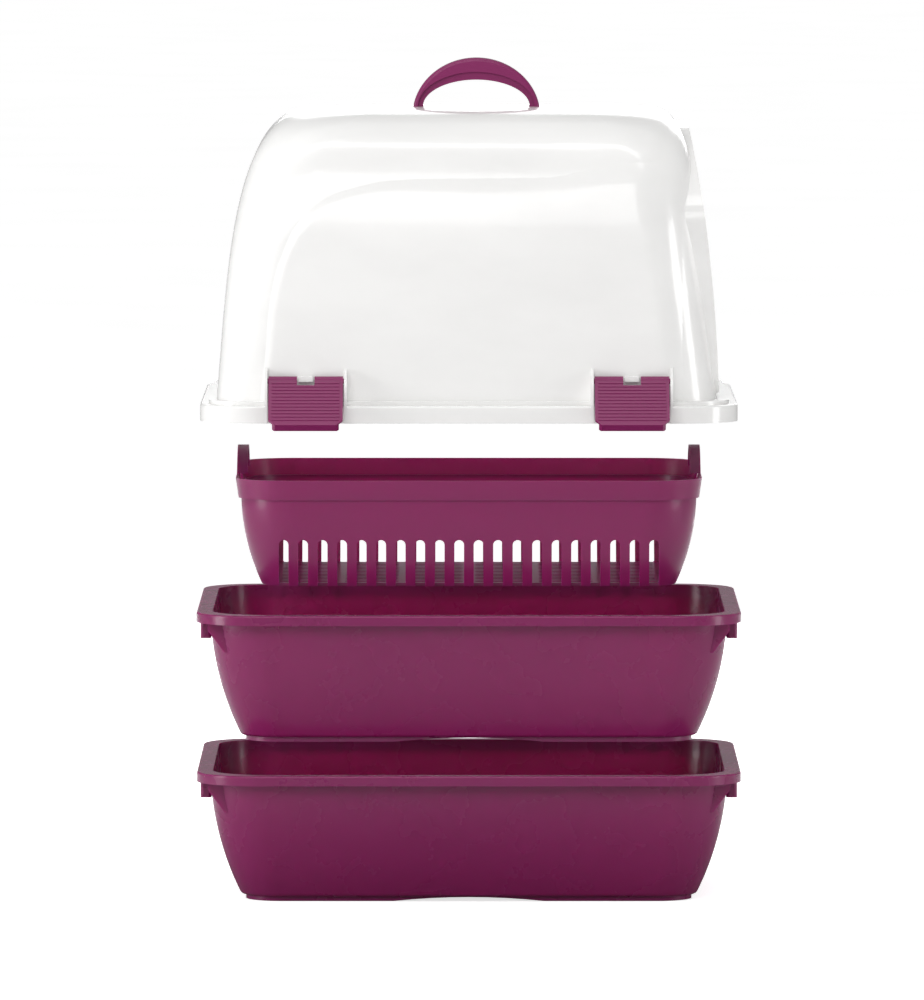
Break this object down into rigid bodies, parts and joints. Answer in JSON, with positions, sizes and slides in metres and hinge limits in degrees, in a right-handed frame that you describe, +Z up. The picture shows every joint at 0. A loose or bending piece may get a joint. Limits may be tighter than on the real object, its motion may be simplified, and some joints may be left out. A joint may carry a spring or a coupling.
{
  "type": "cat litter box with hood",
  "caption": "Hooded cat litter box with nesting trays, a lift-out sieve basket, a white hood with an end entrance, snap latches and a carry handle.",
  "frame": {"origin": "on the floor under the middle of the lower tray, which is the bottom centre of the whole box", "axes": "+X along the long side towards the hood's entrance, +Y across the depth away from the pictured side, +Z up"},
  "size_m": [0.5, 0.4474, 0.77],
  "materials": {
    "plum_plastic": "moulded gloss",
    "sieve_plastic": "moulded gloss, slightly see-through where thin",
    "white_plastic": "moulded gloss",
    "latch_plastic": "ribbed satin"
  },
  "bodies": {
    "lower_tray": {"lower_tray": "plum_plastic"},
    "upper_tray": {"upper_tray": "plum_plastic"},
    "sieve_basket": {"sieve_basket": "sieve_plastic"},
    "hood": {"hood": "white_plastic", "carry_handle": "latch_plastic"},
    "latch_near_rear": {"latch_near_rear": "latch_plastic"},
    "latch_near_front": {"latch_near_front": "latch_plastic"},
    "latch_far_rear": {"latch_far_rear": "latch_plastic"},
    "latch_far_front": {"latch_far_front": "latch_plastic"}
  },
  "joints": [
    {"name": "upper_tray_lift", "type": "slide", "parent": "lower_tray", "child": "upper_tray", "axis": [0, 0, 1], "range_m": [-0.1105, 0]},
    {"name": "basket_lift", "type": "slide", "parent": "upper_tray", "child": "sieve_basket", "axis": [0, 0, 1], "range_m": [-0.135, 0]},
    {"name": "hood_lift", "type": "slide", "parent": "upper_tray", "child": "hood", "axis": [0, 0, 1], "range_m": [-0.1757, 0]},
    {"name": "latch_near_rear_pivot", "type": "hinge", "parent": "hood", "child": "latch_near_rear", "pos_m": [-0.149, -0.1885, 0.4805], "axis": [-1, 0, 0], "range_deg": [-21.5, 42]},
    {"name": "latch_near_front_pivot", "type": "hinge", "parent": "hood", "child": "latch_near_front", "pos_m": [0.149, -0.1885, 0.4805], "axis": [-1, 0, 0], "range_deg": [-21.5, 42]},
    {"name": "latch_far_rear_pivot", "type": "hinge", "parent": "hood", "child": "latch_far_rear", "pos_m": [-0.149, 0.1885, 0.4805], "axis": [1, 0, 0], "range_deg": [-21.5, 42]},
    {"name": "latch_far_front_pivot", "type": "hinge", "parent": "hood", "child": "latch_far_front", "pos_m": [0.149, 0.1885, 0.4805], "axis": [1, 0, 0], "range_deg": [-21.5, 42]}
  ]
}
